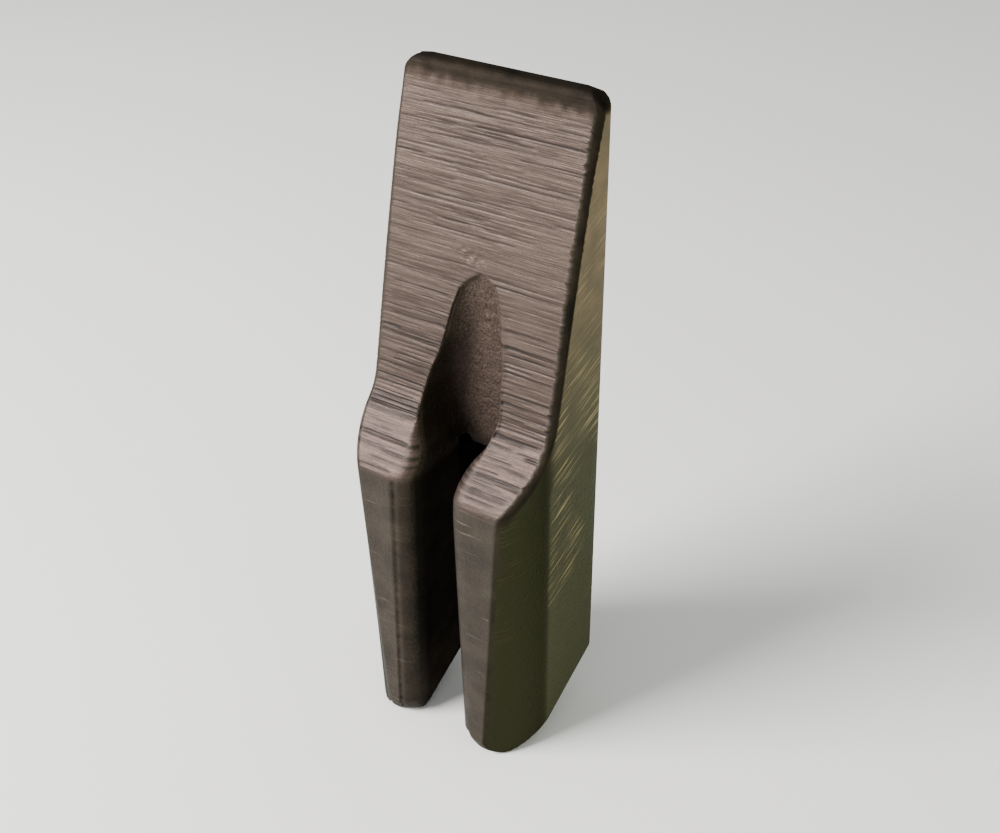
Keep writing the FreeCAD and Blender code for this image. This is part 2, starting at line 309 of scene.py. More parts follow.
def outer_parts(hand, t, slot, front):
    """Back, rounded heel, side, flank and rounded front corner, each as half width and depth."""
    edge_d = front - FACE_ROUND[hand]
    edge_x, sharp_x = flank_x(edge_d, t), flank_x(front, t)
    ragged = RAGGED[:, None] * smooth((t - 100) / 14) * RAGGED_SHARE[hand]
    face_x = sharp_x - FACE_ROUND[hand] * 0.8 - ragged
    split = np.minimum(CREASE_DEPTH, BACK_ROUND + SPLIT_SHARE * (edge_d - BACK_ROUND))
    start = np.zeros_like(t)
    heel_x = HALF_WIDTH - BACK_ROUND
    side_d = BACK_ROUND + (split - BACK_ROUND) * shares(COUNTS["side"])
    flank_d = split + (edge_d - split) * shares(COUNTS["flank"])
    return {
        "start": (slot, start),
        "back": (slot + (heel_x - slot) * shares(COUNTS["back"]), start),
        "heel": bend_points((heel_x, start), (HALF_WIDTH, start),
                            (HALF_WIDTH, start + BACK_ROUND), shares(COUNTS["heel"])),
        "side": (flank_x(side_d, t), side_d),
        "flank": (flank_x(flank_d, t), flank_d),
        "corner": bend_points((edge_x, edge_d), (sharp_x, front), (face_x, front),
                              shares(COUNTS["corner"])),
    }, face_x


def inner_parts(hand, t, front, face_x):
    """Ground flat, rolled lip and scoop wall; the lip rolls deeply on the legs only."""
    floor = scoop_floor(t)
    rim, lip = table(t, RIM[hand], 0.8), table(t, LIP[hand], 0.8)
    lip = np.maximum(lip, rim + 0.3)
    soft = 1.3 * smooth((t - 124) / 14) * SOFT_RIM_SHARE[hand]
    roll = np.minimum(np.interp(t, *ROLL) + soft, np.maximum(front - floor - 0.3, 0.25))
    foot = np.minimum(floor + FLOOR_ROUND[hand], front - roll - 0.2)
    undercut = UNDERCUT * smooth((t - 108) / 12)
    u = shares(COUNTS["wall"])
    return {
        "flat": (face_x + (lip - face_x) * shares(COUNTS["flat"]), front),
        "lip": bend_points((lip, front), (rim, front), (rim, front - roll),
                           shares(COUNTS["lip"])),
        "wall": (rim - undercut * u, front - roll + (foot - front + roll) * u),
    }


def side_path(hand):
    """Place x and depth of every point of one side, rows by columns."""
    t = ROWS[:, None]
    front = front_depth(t)
    slot = SLOT_FOOT + (SLOT_TOP - SLOT_FOOT) * np.clip(t / CROTCH_Z, 0, 1)
    parts, face_x = outer_parts(hand, t, slot, front)
    parts.update(inner_parts(hand, t, front, face_x))
    sizes = [("start", 1)] + list(COUNTS.items())
    x, depth = (np.hstack([np.broadcast_to(parts[name][k], (len(t), count))
                           for name, count in sizes]) for k in (0, 1))
    return x * hand, depth


PATHS = {hand: side_path(hand) for hand in (1, -1)}
print("columns of one side:", PATHS[1][0].shape[1])

# %% [markdown]
# ## The scoop's floor
# Between the two sides lies the floor of the scoop. It was pressed in with the slot, so it
# leaves each wall along a rounded foot, tighter on the right than on the left. A separate bowl
# could be cut in, but one grid that shares its edge columns with the walls stays closed.

# %% Floor between the two sides
FLOOR_COLUMNS = 20
POINT_BLUR = 1.4


def across(right, left, count):
    """Straight blend between two columns, row by row, with the ends left exact."""
    u = np.linspace(0, 1, count)[None, :]
    return right[:, None] * (1 - u) + left[:, None] * u


def floor_grid():
    """Floor of the scoop: it leaves each wall along a rounded foot and dishes in the middle."""
    (rx, rd), (lx, ld) = PATHS[1], PATHS[-1]
    t = ROWS[NECK_ROW:]
    x = across(rx[NECK_ROW:, -1], lx[NECK_ROW:, -1], FLOOR_COLUMNS)
    edge = across(rd[NECK_ROW:, -1], ld[NECK_ROW:, -1], FLOOR_COLUMNS)
    inset = np.minimum(np.abs(x - x[:, :1]) / FLOOR_ROUND[1],
                       np.abs(x - x[:, -1:]) / FLOOR_ROUND[-1])
    foot = 1 - np.sqrt(np.clip(1 - (1 - np.clip(inset, 0, 1)) ** 2, 0, 1))
    floor = scoop_floor(t)[:, None]
    depth = floor + (edge - floor) * foot
    return x, depth


def under_the_point(x, t):
    """One inside the scoop and zero above the line of its point, with a narrow soft step."""
    return smooth((np.interp(x, *APEX_LINE) - t) / POINT_BLUR + 0.5)


def close_the_point(x, depth):
    """Above the point of the scoop its columns come out to the face of the blade."""
    t = ROWS[-depth.shape[0]:, None]
    return front_depth(t) + (depth - front_depth(t)) * under_the_point(x, t)


FLOOR_X, FLOOR_D = floor_grid()
FLOOR_D = close_the_point(FLOOR_X, FLOOR_D)
for hand in (1, -1):
    x, depth = PATHS[hand]
    inner = slice(EDGES["flat"], None)
    above = ROWS[:, None] > 150
    raised = close_the_point(x[:, inner], depth[:, inner])
    depth[:, inner] = np.where(above, raised, depth[:, inner])
print("floor of the scoop:", FLOOR_X.shape)

# %% [markdown]
# ## The slot's walls and roof
# On the real forging the slot was pressed in from the front and runs right through. Its walls
# are plain, and its closed end is a quarter circle that meets the back. They could be cut out
# with a boolean, but grids that share their edge columns with the sides sew up exactly.

# %% Inner walls of the legs, roof of the slot and back of the web
WALL_COLUMNS = 11
WALL_SHARE = np.linspace(0, 1, WALL_COLUMNS)


def inner_wall(hand):
    """Slot wall from the scoop's depth to the back, for the rows below the slot's closed end."""
    x, depth = PATHS[hand]
    rows = slice(0, NECK_ROW + 1)
    front_x, back_x = x[rows, -1:], x[rows, :1]
    return (front_x + (back_x - front_x) * WALL_SHARE,
            depth[rows, -1:] * (1 - WALL_SHARE))


def roof_grid():
    """Roof of the slot: each column of the floor carried to the back along the quarter circle."""
    back_x = across(PATHS[1][0][NECK_ROW:, 0], PATHS[-1][0][NECK_ROW:, 0], FLOOR_COLUMNS)
    share = WALL_SHARE[:, None]
    x = FLOOR_X[0] * (1 - share) + back_x[0] * share
    return x, FLOOR_D[0] * (1 - share), back_x


ROOF_X, ROOF_D, WEB_X = roof_grid()
print("slot %.1f mm wide at its closed end" % (2 * PATHS[1][0][NECK_ROW, 0]))

# %% [markdown]
# ## Grinding, scale, painted shade and rough hollows
# Every grid now gets its small relief, pressed in along the depth, and a few numbers per point
# that say what finish it has: ground, scale left by the grinding, which in the scoop and on the
# left leg's lip also carries painted shade, rough hollow, furrow depth. They could be painted in
# an image, but numbers on the points stay sharp and need no image.

# %% Smooth random hills
NAMES = ("ground", "scale_and_shade", "hollow", "furrow", "leg", "side", "flank")


def lattice(u, v, size, seed):
    """Smooth random hills: random values on a square lattice of a given size, blended."""
    dice = np.random.default_rng(seed)
    values = dice.uniform(-1, 1, (256, 256))
    a, b = u / size, v / size
    i, j = np.floor(a).astype(int), np.floor(b).astype(int)
    s, w = smooth(a - i), smooth(b - j)
    i, j, i2, j2 = i % 256, j % 256, (i + 1) % 256, (j + 1) % 256
    return ((values[i, j] * (1 - s) + values[i2, j] * s) * (1 - w)
            + (values[i, j2] * (1 - s) + values[i2, j2] * s) * w)


def grain(u, v, size, seed):
    """Three sizes of hills added, each half as large and half as high as the one before."""
    return sum(lattice(u, v, size / 2 ** k, seed + k) / 2 ** k for k in range(3))


print("grain at five points:", np.round(grain(ROWS[:5], ROWS[:5], 2.4, 40), 2))

# %% Relief of the ground faces and of the nose
FURROW_FULL = 0.22


def ground_relief(x, z, ground):
    """Depth taken off a ground face: furrows, fine streaks and a dull rough spot."""
    quiet = 1 - 0.85 * smooth((z - 207) / 6)
    dull = np.exp(-((x - 19) / 7) ** 2 - ((z - 155) / 5.5) ** 2)
    cut = furrows(x, z) * quiet * (1 - 0.7 * dull)
    fine = 0.05 * np.abs(streaks(x, z)) * quiet * (0.5 + 0.8 * smooth((150 - z) / 30))
    rough = 0.10 * np.maximum(grain(x, z, 2.2, 50), 0) * dull
    return (cut + fine + rough) * ground, cut


def pitted_patch(x, z):
    """A small rough patch just above the scoop's point."""
    where = np.exp(-((x + 1) / 5.0) ** 4 - ((z - 167.6) / 2.6) ** 4)
    return where * np.maximum(grain(x, z, 1.5, 70) + 0.25, 0) * 0.35


def nose_wear(x, t):
    """Dark oxide skin that begins a few millimetres under the nose, with an uneven edge."""
    return 0.95 * smooth((t - 210.4 + 0.02 * x + 0.8 * grain(x, t, 2.4, 91)) / 5.5)


print("deepest pit %.2f mm" % pitted_patch(FLOOR_X, ROWS[NECK_ROW:, None]).max())

# %% Finish and relief of one side
def columns(first, last, before=0, after=0):
    """The columns from the end of one part of the path to the end of another."""
    return slice(EDGES[first] + before, EDGES[last] + after)


FLAT, CORNER = columns("corner", "flat"), columns("flank", "corner", after=-1)
INNER, HOLLOW_PART = slice(EDGES["flat"], None), slice(EDGES["lip"], None)
FACE_PART, BESIDE = slice(EDGES["corner"], None), columns("side", "flank")
ROLLED, LIPS = columns("flat", "lip", after=-2), columns("flat", "lip")
LIP_FOOT = columns("lip", "lip", before=-2)


def side_finish(hand, x, depth, t, shut):
    """Which finish each point of a side has: ground, leg, side, flank, scale or hollow, and
    painted shade.
    """
    values = {name: np.zeros_like(x) for name in NAMES}
    upper = smooth((t - 96) / 8)
    values["ground"][:, FLAT] = 1
    values["ground"][:, INNER] = shut[:, INNER]
    values["leg"] = 1 - smooth((t - 99.5) / 4)
    values["side"][:, columns("back", "flank", after=2 if hand > 0 else 0)] = 1
    bevel = columns("side", "corner", after=-1) if hand > 0 else BESIDE
    values["flank"][:, bevel] = smooth((depth[:, bevel] - CREASE_DEPTH + 4) / 8)
    if hand > 0:
        gap = front_depth(t) - FACE_ROUND[hand] - depth
        reach = 0.5 + 0.35 * lattice(t, depth, 1.1, 90)
        values["scale_and_shade"][:, CORNER] = upper[:, CORNER]
        values["scale_and_shade"][:, BESIDE] = (upper * smooth(1.3 - gap / reach))[:, BESIDE]
    else:
        values["ground"][:, CORNER] = upper[:, CORNER]
    values["hollow"][:, HOLLOW_PART] = 1 - shut[:, HOLLOW_PART]
    values["hollow"][:, LIP_FOOT] = 0.5 * (1 - shut[:, LIP_FOOT])
    # The scoop's left wall faces away from the key light: its dark value here is painted shade.
    if hand < 0:
        values["scale_and_shade"][:, HOLLOW_PART] = 0.85 * (1 - shut[:, HOLLOW_PART])
    values["scale_and_shade"][:, FACE_PART] = np.maximum(values["scale_and_shade"], nose_wear(x, t))[:, FACE_PART]
    return values


def mark_flash_line(t, blade, relief, values):
    """The left leg's flash line: a nicked, dark groove, and painted shade over the rolled lip."""
    seam = slice(EDGES["flat"] - 2, EDGES["flat"] + 1)
    nicks = 0.75 + 0.25 * lattice(t, 0 * t, 0.9, 33)
    mark = np.array([0.35, 1.0, 0.35]) * nicks[:, seam] * smooth((101.5 - t[:, seam]) / 1.5)
    relief[:, seam] += 0.55 * mark
    values["scale_and_shade"][:, seam] = np.maximum(values["scale_and_shade"][:, seam], mark)
    # The left rolled lip faces away from the key light: the darker value over it is painted shade.
    lip = slice(EDGES["flat"] + 1, EDGES["lip"])
    values["scale_and_shade"][:, lip] = np.maximum(values["scale_and_shade"], 0.6 * (1 - blade))[:, lip]


def finish_side(hand):
    """One side with its relief pressed in along the depth, and its finish values."""
    x, depth = PATHS[hand]
    t = ROWS[:, None] + 0 * x
    shut = np.where(t > 150, 1 - under_the_point(x, t), 0)
    values = side_finish(hand, x, depth, t, shut)
    blade = smooth((t - 100) / 3)
    relief, cut = ground_relief(x, t, values["ground"])
    values["ground"][:, ROLLED] = np.maximum(values["ground"], 0.85)[:, ROLLED]
    values["furrow"] = np.clip(cut * blade * values["ground"] / FURROW_FULL, 0, 1)
    relief = relief * blade
    relief[:, FACE_PART] += (pitted_patch(x, t) * shut)[:, FACE_PART]
    leg_lines = 0.05 * np.maximum(streaks(x, t, 14, 5) - 1.2, 0) * (1 - blade)
    relief[:, FLAT] += leg_lines[:, FLAT]
    bumps = 0.10 * grain(t, depth + 40, 2.4, 20 + hand)
    sunk = (0.28 + bumps) * (1 if hand > 0 else 0.3) * smooth((t - 100) / 8)
    relief[:, CORNER] += sunk[:, CORNER]
    brow = (0.14 + bumps * 0.6) * smooth((t - 99) / 5) * smooth((121 - t) / 4)
    relief[:, LIPS] += brow[:, LIPS]
    if hand < 0:
        mark_flash_line(t, blade, relief, values)
    return x, depth - relief, t, values


FINISHED = {hand: finish_side(hand) for hand in (1, -1)}
print("deepest relief %.2f mm" % max((PATHS[hand][1] - FINISHED[hand][1]).max()
                                     for hand in (1, -1)))

# %% Finish and relief of the scoop's floor
PITS = ((-3.5, 129.5, 0.9, 0.9), (-3.2, 133, 0.5, 0.4), (1.5, 150.5, 0.8, 0.5),
        (1.2, 146, 0.6, 0.4))


def finish_floor():
    """Rough relief, pits and a painted rim shadow on the scoop's floor, and the ground face above
    its point.
    """
    x, depth = FLOOR_X, FLOOR_D
    t = ROWS[NECK_ROW:, None] + 0 * x
    inside = under_the_point(x, t)
    relief, cut = ground_relief(x, t, 1 - inside)
    from_edge = FLOOR_COLUMNS / 2 - 0.5 - np.abs(np.arange(FLOOR_COLUMNS)
                                                 - (FLOOR_COLUMNS - 1) / 2)
    rough = 0.22 * grain(x, t, 2.4, 40) + 0.10 * lattice(x, t, 0.8, 44)
    for pit_x, pit_z, size, deep in PITS:
        rough = rough + deep * np.exp(-((x - pit_x) / size) ** 2 - ((t - pit_z) / size) ** 2)
    rough = rough * inside * smooth(from_edge / 2) * smooth((t - NECK_Z) / 3)
    relief = relief + pitted_patch(x, t) * (1 - inside) + rough
    # Painted shadow of the left rim: the floor darkens towards its left wall and further down.
    painted_rim_shadow = smooth((8 - (x - x[:, -1:])) / 8) * smooth((150 - t) / 25)
    values = {name: np.zeros_like(x) for name in NAMES}
    values["ground"], values["hollow"] = 1 - inside, inside
    values["furrow"] = np.clip(cut * (1 - inside) / FURROW_FULL, 0, 1)
    values["scale_and_shade"] = np.maximum(nose_wear(x, t), 0.9 * painted_rim_shadow * inside)
    return x, depth - relief, t, values


FLOOR_X, FLOOR_D, FLOOR_T, FLOOR_VALUES = finish_floor()
print("floor between %.1f and %.1f mm from the back" % (FLOOR_D.min(), FLOOR_D.max()))

# %% [markdown]
# ## Sewing the skin
# The grids are laid down one after another and points that coincide become one, so the skin is
# closed. The feet are closed by rings that shrink to a point on the sole, and the tip by rings
# that roll over the nose to a narrow flat.

# %% Collect points, faces and finish values
POINTS, FINISH, FACES = [], [], []
FOOT_CENTRE = (20.5, 21.0)
SOLE_RINGS = np.array([1, 0.985, 0.96, 0.93, 0.89, 0.84, 0.77, 0.68, 0.55, 0.4, 0.2, 0.0])


def add_grid(x, depth, z, values=None, closed=False):
    """Add a grid of points and its four-sided faces; closed joins the last column to the first."""
    base = sum(len(part) for part in POINTS)
    rows, count = x.shape
    POINTS.append(np.stack([x, BACK_Y - depth, z], -1).reshape(-1, 3))
    blank = np.zeros_like(x)
    values = values or {}
    FINISH.append(np.stack([values.get(name, blank) for name in NAMES], -1)
                  .reshape(-1, len(NAMES)))
    index = base + np.arange(rows * count).reshape(rows, count)
    if closed:
        index = np.hstack([index, index[:, :1]])
    quads = np.stack([index[:-1, :-1], index[:-1, 1:], index[1:, 1:], index[1:, :-1]], -1)
    FACES.append(quads.reshape(-1, 4))
    return index


def round_the_foot(x, depth, t, hand):
    """Near the sole the outline draws in towards the middle of the leg, by a quarter circle."""
    inset = EDGE_ROUND - np.sqrt(EDGE_ROUND ** 2 - np.clip(EDGE_ROUND - t, 0, EDGE_ROUND) ** 2)
    to_x, to_d = hand * FOOT_CENTRE[0] - x, FOOT_CENTRE[1] - depth
    far = np.hypot(to_x, to_d)
    return x + to_x / far * inset, depth + to_d / far * inset


def add_leg(hand):
    """Side, inner wall and sole of one leg; the sole's rings shrink to a point."""
    x, depth, t, values = FINISHED[hand]
    z = lift(t, PATHS[hand][1], x, side_dip)
    x, depth = round_the_foot(x, depth, t, hand)
    add_grid(x, depth, z, values)
    wx, wd = inner_wall(hand)
    t = ROWS[:NECK_ROW + 1, None] + 0 * wx
    wz = lift(t, wd, wx)
    wx, wd = round_the_foot(wx, wd, t, hand)
    for column, edge in ((0, -1), (-1, 0)):
        wx[:, column], wd[:, column], wz[:, column] = (a[:NECK_ROW + 1, edge]
                                                       for a in (x, depth, z))
    # The slot's walls are marked hollow and leg; the material paints them near-black as shade.
    add_grid(wx, wd, wz, {"hollow": np.ones_like(wx), "leg": np.ones_like(wx)})
    ring = np.hstack([np.stack([x[0], depth[0]]), np.stack([wx[0, 1:-1], wd[0, 1:-1]])])
    centre = np.array([[hand * FOOT_CENTRE[0]], [FOOT_CENTRE[1]]])
    rings = centre[:, None] + (ring - centre)[:, None] * SOLE_RINGS[None, :, None]
    rings_z = sole_height(rings[1], rings[0])
    rings_z[0] = np.hstack([z[0], wz[0, 1:-1]])
    add_grid(rings[0], rings[1], rings_z, {"leg": np.ones_like(rings_z)}, closed=True)
    return x, depth, z, values


SIDES = {hand: add_leg(hand) for hand in (1, -1)}
print(sum(map(len, POINTS)), "points after the two legs")

# %% Floor of the scoop, back of the web and roof of the slot
for column, hand in ((0, 1), (-1, -1)):
    FLOOR_X[:, column], FLOOR_D[:, column] = (a[NECK_ROW:, -1] for a in SIDES[hand][:2])
FLOOR_Z = lift(FLOOR_T, np.full_like(FLOOR_T, 30.0), FLOOR_X)
add_grid(FLOOR_X, FLOOR_D, FLOOR_Z, FLOOR_VALUES)
WEB_D = np.zeros_like(WEB_X)
WEB_Z = lift(ROWS[NECK_ROW:, None] + 0 * WEB_X, WEB_D, WEB_X)
add_grid(WEB_X, WEB_D, WEB_Z)
ROOF_X[0], ROOF_D[0] = FLOOR_X[0], FLOOR_D[0]
for column, hand in ((0, 1), (-1, -1)):
    ROOF_X[1:-1, column], ROOF_D[1:-1, column] = (a[-1, 1:-1] for a in inner_wall(hand))
ROOF_Z = lift(NECK_Z + 0 * ROOF_X, ROOF_D, ROOF_X)
ROOF_Z[0] = FLOOR_Z[0]
add_grid(ROOF_X, ROOF_D, ROOF_Z, {"hollow": np.ones_like(ROOF_X)})
print("roof of the slot from %.1f to %.1f mm up" % (ROOF_Z.min(), ROOF_Z.max()))

# %% Roll over the nose and close it
NOSE_MIDDLE, NOSE_BACK, NOSE_ENDS = 2.9, 1.7, 2.0


def top_ring():
    """The last row of both sides, the floor's columns and the web, in one closed loop."""
    (rx, rd, rz, rv), (lx, ld, lz, lv) = SIDES[1], SIDES[-1]
    pieces = [(rx[-1], rd[-1], rz[-1]),
              (FLOOR_X[-1, 1:-1], FLOOR_D[-1, 1:-1], FLOOR_Z[-1, 1:-1]),
              (lx[-1, ::-1], ld[-1, ::-1], lz[-1, ::-1]),
              (WEB_X[-1, -2:0:-1], WEB_D[-1, 1:-1], WEB_Z[-1, -2:0:-1])]
    finish = {name: np.hstack([rv[name][-1], FLOOR_VALUES[name][-1, 1:-1], lv[name][-1, ::-1],
                               WEB_D[-1, 1:-1]]) for name in NAMES}
    x, depth, z = (np.hstack([piece[k] for piece in pieces]) for k in range(3))
    return x, depth, z, finish


def zip_shut(ring, x):
    """Triangles between the front and back halves of the last ring, taken in order of x."""
    ring, x = np.roll(ring, -np.argmax(x)), np.roll(x, -np.argmax(x))
    turn = np.argmin(x)
    front, back = ring[:turn + 1], np.append(ring[turn:], ring[0])[::-1]
    front_go = np.maximum.accumulate(-x[:turn + 1])
    back_go = np.maximum.accumulate(-np.append(x[turn:], x[0])[::-1])
    over = back[np.searchsorted(back_go[1:], front_go[1:], side="left")]
    under = front[np.searchsorted(front_go[1:], back_go[1:], side="right")]
    return np.vstack([np.column_stack([front[:-1], front[1:], over]),
                      np.column_stack([back[:-1], back[1:], under])])


def add_tip(x, depth, ring_z, finish):
    """Roll the top ring over by quarter circles: front, back and ends draw in as it rises."""
    angle = np.linspace(0, math.pi / 2, 9)[:, None]
    inward = 1 - np.cos(angle)
    in_front = depth > NOSE_MIDDLE
    thick = np.where(in_front, depth.max() - NOSE_MIDDLE, NOSE_MIDDLE)
    pull = np.where(in_front, NOSE_RADIUS, NOSE_BACK) / thick
    tip_depth = NOSE_MIDDLE + (depth - NOSE_MIDDLE) * (1 - pull * inward)
    tip_x = x - np.sign(x) * NOSE_ENDS * inward * smooth((np.abs(x) - 22) / 10)
    z = ring_z + NOSE_RADIUS * np.sin(angle)
    values = {name: finish[name] + 0 * z for name in NAMES}
    values["scale_and_shade"] = np.maximum(values["scale_and_shade"], smooth(np.sin(angle) * 1.3 + 0.2) + 0 * z)
    index = add_grid(tip_x, tip_depth, z, values, closed=True)
    return zip_shut(index[-1, :-1], tip_x[-1])


CAP = add_tip(*top_ring())
print(sum(map(len, POINTS)), "points in", len(POINTS), "grids")


# %% Sew the grids and make the mesh
def sew(name):
    """Merge points that coincide, drop faces that collapse, and build one mesh."""
    points, finish = np.vstack(POINTS), np.vstack(FINISH)
    points[:, 2] = np.clip(points[:, 2], 0.0, HEIGHT)
    _, first, where = np.unique(np.round(points, 4), axis=0, return_index=True,
                                return_inverse=True)
    where = where.ravel()
    quads = where[np.vstack(FACES)]
    doubled = quads == np.roll(quads, 1, axis=1)
    whole = quads[~doubled.any(axis=1)]
    threes = quads[doubled.sum(axis=1) == 1]
    threes = threes[~doubled[doubled.sum(axis=1) == 1]].reshape(-1, 3)
    threes = np.vstack([threes, where[CAP]])
    threes = threes[(threes != np.roll(threes, 1, axis=1)).all(axis=1)]
    mesh = bpy.data.meshes.new(name)
    mesh.from_pydata((points[first] * MM).tolist(), [],
                     whole.tolist() + threes.tolist())
    for k, title in enumerate(NAMES):
        layer = mesh.attributes.new(title, "FLOAT", "POINT")
        layer.data.foreach_set("value", finish[first, k].astype(np.float32))
    work = bmesh.new()
    work.from_mesh(mesh)
    bmesh.ops.recalc_face_normals(work, faces=work.faces)
    volume = work.calc_volume() * 1e6
    work.to_mesh(mesh)
    work.free()
    mesh.polygons.foreach_set("use_smooth", np.ones(len(mesh.polygons), bool))
    edge_of_corner = np.empty(len(mesh.loops), np.int32)
    mesh.loops.foreach_get("edge_index", edge_of_corner)
    uses = np.bincount(edge_of_corner)
    corners = np.empty(len(mesh.polygons), np.int32)
    mesh.polygons.foreach_get("loop_total", corners)
    print("open or doubled edges:", np.count_nonzero(uses != 2), "volume %.1f cm3" % volume,
          "triangles:", int(np.sum(corners - 2)))
    return mesh


skin = sew("wedge_forging")
forging = bpy.data.objects.new("wedge_forging", skin)
bpy.context.scene.collection.objects.link(forging)
print(len(skin.polygons), "faces")
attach(forging, "root")
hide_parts("forked_wedge")

# %% [markdown]
# ## Camera, floor and lights
# The camera looks down from the right. It could be placed by hand, but three turns, two small
# shifts and a distance say exactly where it stands, so they are kept as numbers. The floor and
# the world are pale and plain. One large soft light stands at the upper left, and a faint green
# one stands low on the right, as light that grass throws back would.

# %% Camera
def look(focal, yaw, pitch, roll, shift_x, shift_y, away, height):
    """Camera from its angles and its distance to a point at a height on the middle of the back."""
    yaw, pitch, roll = map(math.radians, (yaw, pitch, roll))
    back = Vector((math.sin(yaw) * math.cos(pitch), -math.cos(yaw) * math.cos(pitch),
                   math.sin(pitch)))
    level = Vector((math.cos(yaw), math.sin(yaw), 0))
    above = back.cross(level)
    right = math.cos(roll) * level + math.sin(roll) * above
    up = math.cos(roll) * above - math.sin(roll) * level
    place = Vector((0, BACK_Y, height)) - shift_x * right - shift_y * up + away * back
    data = bpy.data.cameras.new("camera")
    data.sensor_width, data.lens = 36.0, focal
    camera = bpy.data.objects.new("camera", data)
    camera.matrix_world = Matrix.Translation(place * MM) @ Matrix(
        (right, up, back)).transposed().to_4x4()
    bpy.context.scene.collection.objects.link(camera)
    bpy.context.scene.camera = camera


look(focal=48.397, yaw=33.3005, pitch=33.9624, roll=-0.4952, shift_x=3.8182, shift_y=3.7236,
     away=432.971, height=107.0)
print("camera at", np.round(bpy.context.scene.camera.matrix_world.translation, 3), "m")

# %% Pale floor and world
FLOOR_REACH, FLOOR_SHADE = 3.0, (0.9, 0.9, 0.9, 1)
floor_mesh = bpy.data.meshes.new("floor")
floor_mesh.from_pydata([(a * FLOOR_REACH, b * FLOOR_REACH, 0) for a, b in
                        ((-1, -1), (1, -1), (1, 1), (-1, 1))], [], [(0, 1, 2, 3)])
floor = bpy.data.objects.new("floor", floor_mesh)
bpy.context.scene.collection.objects.link(floor)
pale = bpy.data.materials.new("pale_floor")
pale.use_nodes = True
for title, value in (("Base Color", FLOOR_SHADE), ("Roughness", 0.9)):
    pale.node_tree.nodes["Principled BSDF"].inputs[title].default_value = value
floor.data.materials.append(pale)

world = bpy.data.worlds.new("studio")
world.use_nodes = True
world.node_tree.nodes["Background"].inputs["Color"].default_value = (1, 1, 1, 1)
world.node_tree.nodes["Background"].inputs["Strength"].default_value = 0.62
bpy.context.scene.world = world
print("floor %.0f m across" % (2 * FLOOR_REACH))


# %% Soft lights
def soft_light(name, place, target, size, power, colour=(1, 1, 1)):
    """A square area light aimed at a point."""
    data = bpy.data.lights.new(name, "AREA")
    data.size, data.energy, data.color = size, power, colour
    light = bpy.data.objects.new(name, data)
    light.location = place
    light.rotation_euler = (Vector(target) - Vector(place)).to_track_quat("-Z", "Y").to_euler()
    bpy.context.scene.collection.objects.link(light)


soft_light("key", place=(-0.62, -0.76, 0.84), target=(0, 0, 0.11), size=0.6, power=41,
           colour=(1, 0.97, 0.94))
soft_light("low_green", place=(0.9, -0.1, 0.25), target=(0, 0, 0.05), size=0.5, power=2.2,
           colour=(0.75, 1, 0.40))
print(len(bpy.data.lights), "lights in the file")

# %% [markdown]
# ## The finish of the steel
# Freshly ground steel is a warm satin grey with streaks along the grinding. Where the wheel did
# not reach, the forging keeps its dark scale, and the scoop's floor and the slot's roof are
# cast-rough. The slot's walls are painted nearly black as shade; the scoop's left wall, the low
# left of its floor and the left leg's rolled lip are darkened as painted shade, and the olive of
# the sides is a painted green reflection. One material holds all of it: the numbers on the points
# choose the finish, and noise stretched along each grinding direction draws its streaks.

# %% Steel and helpers for its nodes
steel = bpy.data.materials.new("forged_steel")
steel.use_nodes = True
TREE = steel.node_tree
SHADER = TREE.nodes["Principled BSDF"]


def put(socket, value):
    """Link a socket to another node's output, or set its number or colour."""
    if isinstance(value, bpy.types.NodeSocket):
        TREE.links.new(value, socket)
    else:
        socket.default_value = value


def maths(operation, *values):
    """One arithmetic node."""
    node = TREE.nodes.new("ShaderNodeMath")
    node.operation = operation
    for socket, value in zip(node.inputs, values):
        put(socket, value)
    return node.outputs[0]


def blend_colour(share, first, second):
    """Mix two colours."""
    node = TREE.nodes.new("ShaderNodeMix")
    node.data_type = "RGBA"
    put(node.inputs[0], share)
    for socket, value in ((node.inputs[6], first), (node.inputs[7], second)):
        put(socket, (*value, 1) if isinstance(value, tuple) else value)
    return node.outputs[2]


def rise(value, low, high, out_low=0.0, out_high=1.0):
    """Map a range of a value to another range, held at its ends."""
    node = TREE.nodes.new("ShaderNodeMapRange")
    for socket, number in zip(node.inputs, (value, low, high, out_low, out_high)):
        put(socket, number)
    return node.outputs[0]


def finish_value(name):
    """One of the numbers stored on the points."""
    node = TREE.nodes.new("ShaderNodeAttribute")
    node.attribute_name = name
    return node.outputs["Fac"]


PLACE = TREE.nodes.new("ShaderNodeTexCoord").outputs["Object"]
SPLIT = TREE.nodes.new("ShaderNodeSeparateXYZ")
TREE.links.new(PLACE, SPLIT.inputs[0])


def noise(per_metre, detail=2.0, turn=(0.0, 0.0, 0.0), roughness=0.55):
    """Noise with its own number of hills per metre along each axis, after a turn."""
    turned = TREE.nodes.new("ShaderNodeMapping")
    put(turned.inputs["Vector"], PLACE)
    turned.inputs["Rotation"].default_value = turn
    scaled = TREE.nodes.new("ShaderNodeMapping")
    put(scaled.inputs["Vector"], turned.outputs[0])
    scaled.inputs["Scale"].default_value = per_metre
    node = TREE.nodes.new("ShaderNodeTexNoise")
    put(node.inputs["Vector"], scaled.outputs[0])
    for title, value in (("Scale", 1.0), ("Detail", detail), ("Roughness", roughness)):
        node.inputs[title].default_value = value
    return node.outputs["Fac"]


print("helpers ready for", steel.name)

# %% Finish values and shared noises
GROUND, SCALE_AND_SHADE, HOLLOW, FURROW, LEG, SIDE, FLANK = (finish_value(name) for name in (
    "ground", "scale_and_shade", "hollow", "furrow", "leg", "side", "flank"))
fine_streak = noise((70, 70, 3600), 4)
broad_streak = noise((26, 26, 1100), 2)
speckle = noise((1700, 1700, 1700), 3)
mottle = noise((90, 90, 90), 3)

UP = SPLIT.outputs["Z"]
print("shared noises made")

